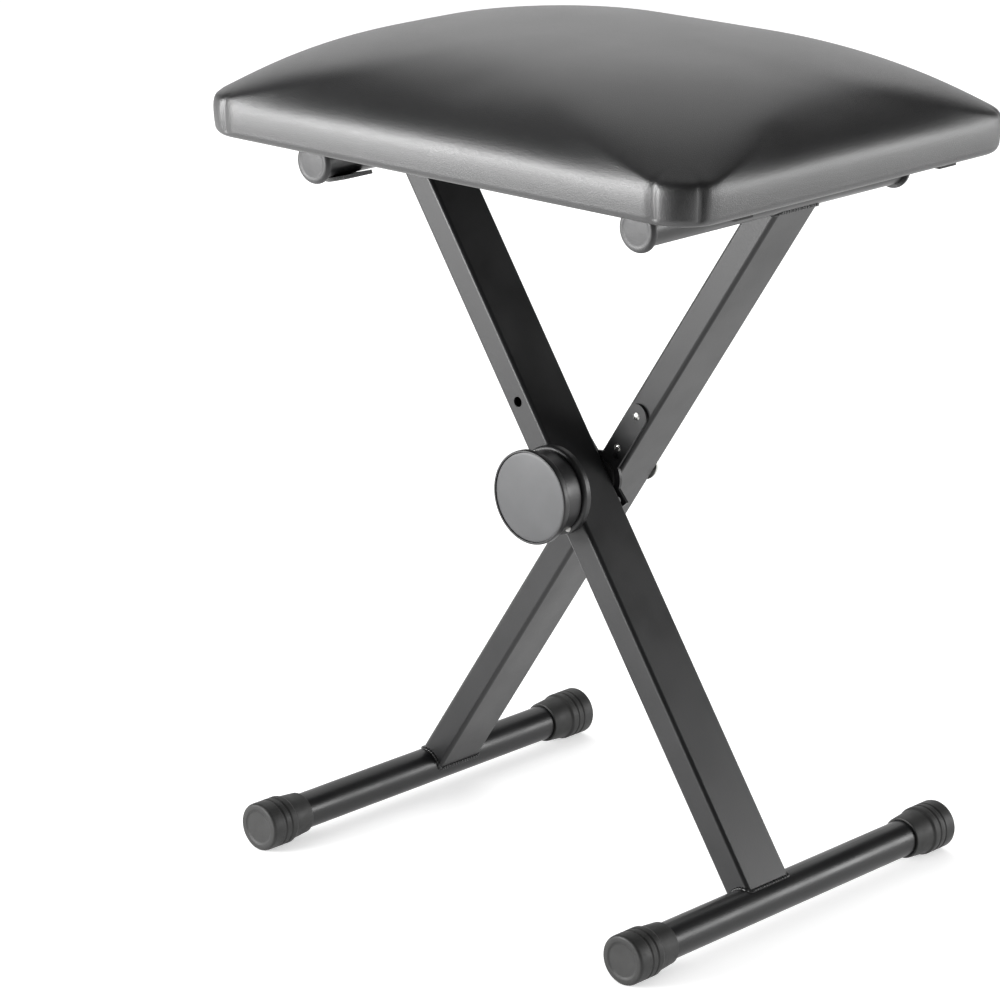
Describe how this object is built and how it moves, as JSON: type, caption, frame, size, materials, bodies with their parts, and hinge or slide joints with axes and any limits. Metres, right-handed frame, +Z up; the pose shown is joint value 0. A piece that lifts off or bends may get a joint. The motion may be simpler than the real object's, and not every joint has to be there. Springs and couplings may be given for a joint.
{
  "type": "folding bench",
  "caption": "Folding X-frame keyboard bench with a padded seat, a round pull knob at the pivot that locks its height, and foot bars with rubber caps.",
  "frame": {"origin": "On the floor under the pivot, in the middle of the feet", "axes": "X along the seat's long sides with leg A's foot at +X, Y along the bars with the knob at -Y, Z up"},
  "size_m": [0.392, 0.3, 0.5211],
  "materials": {
    "frame_paint": "satin black powder coat",
    "zinc_steel": "zinc plated",
    "black_steel": "satin black",
    "foot_rubber": "matte",
    "pad_rubber": "matte",
    "knob_plastic": "fine matte moulding",
    "knob_disc": "satin",
    "plug_plastic": "smooth",
    "bush_plastic": "black nylon",
    "board_wood": "raw plywood",
    "foam": "open foam",
    "seat_leather": "satin synthetic leather",
    "dust_fabric": "non-woven"
  },
  "bodies": {
    "leg_a": {"leg_a_tube": "frame_paint", "foot_bar_a": "frame_paint", "foot_cap_a_front": "foot_rubber", "foot_cap_a_rear": "foot_rubber", "top_bar_a": "frame_paint", "top_plug_a_front": "plug_plastic", "top_plug_a_rear": "plug_plastic", "pivot_bolt": "zinc_steel", "lock_nut": "zinc_steel", "head_washer": "zinc_steel", "spring_washer": "zinc_steel", "pivot_sleeve_a": "zinc_steel", "thrust_washer": "bush_plastic", "knob_base": "knob_plastic", "base_rivets": "zinc_steel"},
    "leg_b": {"leg_b_tube": "frame_paint", "foot_bar_b": "frame_paint", "foot_cap_b_front": "foot_rubber", "foot_cap_b_rear": "foot_rubber", "top_bar_b": "frame_paint", "top_plug_b_front": "plug_plastic", "top_plug_b_rear": "plug_plastic", "pivot_sleeve_b": "zinc_steel", "index_plate": "black_steel", "plate_rivets": "zinc_steel"},
    "seat": {"seat_board": "board_wood", "seat_foam": "foam", "seat_cover": "seat_leather", "dust_cover": "dust_fabric", "dust_cover_staples": "zinc_steel", "hinge_hook_front": "black_steel", "hinge_hook_rear": "black_steel", "saddle_pad_front": "pad_rubber", "saddle_pad_rear": "pad_rubber", "rest_bracket_front": "black_steel", "rest_bracket_rear": "black_steel", "rest_pad_front": "pad_rubber", "rest_pad_rear": "pad_rubber", "bracket_screws": "zinc_steel"},
    "knob": {"knob_body": "knob_plastic", "knob_face": "knob_disc", "lock_pins": "zinc_steel", "knob_spring": "zinc_steel"}
  },
  "joints": [
    {"name": "fold", "type": "hinge", "parent": "leg_a", "child": "leg_b", "pos_m": [0, 0, 0.24622], "axis": [0, 1, 0], "range_deg": [0, 106]},
    {"name": "seat_tilt", "type": "hinge", "parent": "leg_a", "child": "seat", "pos_m": [-0.13, 0, 0.44188], "axis": [0, 1, 0], "range_deg": [0, 53]},
    {"name": "knob_pull", "type": "slide", "parent": "leg_a", "child": "knob", "axis": [0, -1, 0], "range_m": [0, 0.006], "stiffness_N_per_m": 900, "springref_m": -0.004, "deforming": ["knob_spring"]}
  ],
  "couplings": [
    {"joint": "seat_tilt", "follows": "fold", "ratio": 0.5}
  ]
}
